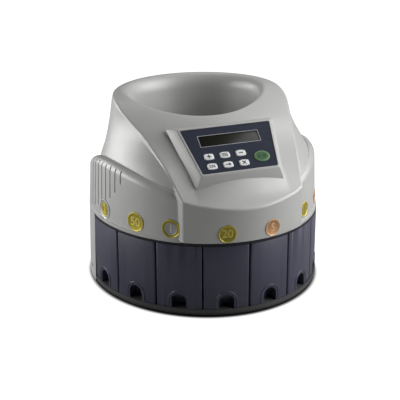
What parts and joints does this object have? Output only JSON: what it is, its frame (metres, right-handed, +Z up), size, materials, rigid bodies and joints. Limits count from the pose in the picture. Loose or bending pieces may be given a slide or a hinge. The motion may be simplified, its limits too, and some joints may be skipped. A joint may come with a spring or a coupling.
{
  "type": "coin counter and sorter",
  "caption": "Motorised coin counter: hopper and keypad console over a sorting disc that drops each coin size into its own pull-out drawer.",
  "frame": {"origin": "on the table surface, under the axis of the sorting disc, which is also the centre of the oval base", "axes": "+Z up, -Y towards the user in front of the keypad, +X to the user's right"},
  "size_m": [0.33, 0.355, 0.266],
  "materials": {
    "shell_grey": "satin moulded plastic",
    "drawer_navy": "semi-gloss moulded plastic",
    "base_black": "satin",
    "keypad_navy": "printed film",
    "key_white": "satin",
    "key_green": "satin",
    "window_dark": "clear",
    "display_glass": "dark",
    "board_green": "printed circuit",
    "coin_gold": "struck",
    "coin_silver": "struck",
    "coin_copper": "struck",
    "rubber_black": "matt",
    "deck_black": "satin",
    "disc_plastic": "satin",
    "steel_plate": "plain",
    "screw_steel": "zinc plated",
    "bronze_bush": "sintered",
    "gear_white": "moulded",
    "motor_metal": "plain",
    "core_metal": "varnished",
    "socket_black": "moulded"
  },
  "bodies": {
    "housing": {"base_plate": "base_black", "drawer_guides": "base_black", "rubber_feet": "rubber_black", "rear_casing": "shell_grey", "inner_frame": "deck_black", "sorting_deck": "deck_black", "coin_rail": "disc_plastic", "coin_sensors": "socket_black", "upper_cover": "shell_grey", "hopper_bowl": "shell_grey", "console_bezel": "shell_grey", "keypad_membrane": "keypad_navy", "lcd_window": "window_dark", "lcd_module": "display_glass", "key_board": "board_green", "coin_emblem_1": "coin_silver", "coin_emblem_2": "coin_gold", "coin_emblem_3": "coin_gold", "coin_emblem_4": "coin_gold", "coin_emblem_5": "coin_copper", "coin_emblem_6": "coin_gold", "coin_emblem_7": "coin_copper", "coin_emblem_8": "coin_copper", "upper_bush": "bronze_bush", "lower_bush": "bronze_bush", "bearing_plate": "steel_plate", "gear_motor": "motor_metal", "main_board": "board_green", "transformer": "core_metal", "mains_inlet": "socket_black", "switch_housing": "socket_black", "base_screws": "screw_steel", "deck_screws": "screw_steel", "cover_screws": "screw_steel"},
    "drawer_1": {"drawer_1": "drawer_navy"},
    "drawer_2": {"drawer_2": "drawer_navy"},
    "drawer_3": {"drawer_3": "drawer_navy"},
    "drawer_4": {"drawer_4": "drawer_navy"},
    "drawer_5": {"drawer_5": "drawer_navy"},
    "drawer_6": {"drawer_6": "drawer_navy"},
    "drawer_7": {"drawer_7": "drawer_navy"},
    "drawer_8": {"drawer_8": "drawer_navy"},
    "key_1": {"key_1": "key_white"},
    "key_2": {"key_2": "key_white"},
    "key_3": {"key_3": "key_white"},
    "key_4": {"key_4": "key_white"},
    "key_5": {"key_5": "key_white"},
    "key_6": {"key_6": "key_white"},
    "start_stop_key": {"start_stop_key": "key_green"},
    "rotor": {"sorting_disc": "disc_plastic", "disc_cone": "disc_plastic", "drive_shaft": "steel_plate", "drive_gear": "gear_white"},
    "motor_output": {"motor_pinion": "gear_white", "motor_shaft": "steel_plate"},
    "power_rocker": {"power_rocker": "socket_black"}
  },
  "joints": [
    {"name": "drawer_1_slide", "type": "slide", "parent": "housing", "child": "drawer_1", "axis": [-0.9782, -0.2076, 0], "range_m": [0, 0.085]},
    {"name": "drawer_2_slide", "type": "slide", "parent": "housing", "child": "drawer_2", "axis": [-0.8143, -0.5804, 0], "range_m": [0, 0.085]},
    {"name": "drawer_3_slide", "type": "slide", "parent": "housing", "child": "drawer_3", "axis": [-0.5309, -0.8475, 0], "range_m": [0, 0.085]},
    {"name": "drawer_4_slide", "type": "slide", "parent": "housing", "child": "drawer_4", "axis": [-0.1833, -0.9831, 0], "range_m": [0, 0.085]},
    {"name": "drawer_5_slide", "type": "slide", "parent": "housing", "child": "drawer_5", "axis": [0.1833, -0.9831, 0], "range_m": [0, 0.085]},
    {"name": "drawer_6_slide", "type": "slide", "parent": "housing", "child": "drawer_6", "axis": [0.5309, -0.8475, 0], "range_m": [0, 0.085]},
    {"name": "drawer_7_slide", "type": "slide", "parent": "housing", "child": "drawer_7", "axis": [0.8143, -0.5804, 0], "range_m": [0, 0.085]},
    {"name": "drawer_8_slide", "type": "slide", "parent": "housing", "child": "drawer_8", "axis": [0.9782, -0.2076, 0], "range_m": [0, 0.085]},
    {"name": "key_1_press", "type": "slide", "parent": "housing", "child": "key_1", "axis": [0, 0.6198, -0.7848], "range_m": [0, 0.0008], "stiffness_N_per_m": 900},
    {"name": "key_2_press", "type": "slide", "parent": "housing", "child": "key_2", "axis": [0, 0.6198, -0.7848], "range_m": [0, 0.0008], "stiffness_N_per_m": 900},
    {"name": "key_3_press", "type": "slide", "parent": "housing", "child": "key_3", "axis": [0, 0.6198, -0.7848], "range_m": [0, 0.0008], "stiffness_N_per_m": 900},
    {"name": "key_4_press", "type": "slide", "parent": "housing", "child": "key_4", "axis": [0, 0.6198, -0.7848], "range_m": [0, 0.0008], "stiffness_N_per_m": 900},
    {"name": "key_5_press", "type": "slide", "parent": "housing", "child": "key_5", "axis": [0, 0.6198, -0.7848], "range_m": [0, 0.0008], "stiffness_N_per_m": 900},
    {"name": "key_6_press", "type": "slide", "parent": "housing", "child": "key_6", "axis": [0, 0.6198, -0.7848], "range_m": [0, 0.0008], "stiffness_N_per_m": 900},
    {"name": "start_stop_key_press", "type": "slide", "parent": "housing", "child": "start_stop_key", "axis": [0, 0.6198, -0.7848], "range_m": [0, 0.0008], "stiffness_N_per_m": 900},
    {"name": "rotor_spin", "type": "hinge", "parent": "housing", "child": "rotor", "pos_m": [0, 0, 0.1], "axis": [0, 0, 1], "continuous": true},
    {"name": "motor_spin", "type": "hinge", "parent": "housing", "child": "motor_output", "pos_m": [0, 0.048, 0.08], "axis": [0, 0, 1], "continuous": true},
    {"name": "power_rocker_tilt", "type": "hinge", "parent": "housing", "child": "power_rocker", "pos_m": [-0.017, 0.1716, 0.047], "axis": [1, 0, 0], "range_deg": [-12, 0]}
  ],
  "couplings": [
    {"joint": "motor_spin", "follows": "rotor_spin", "ratio": -3}
  ]
}
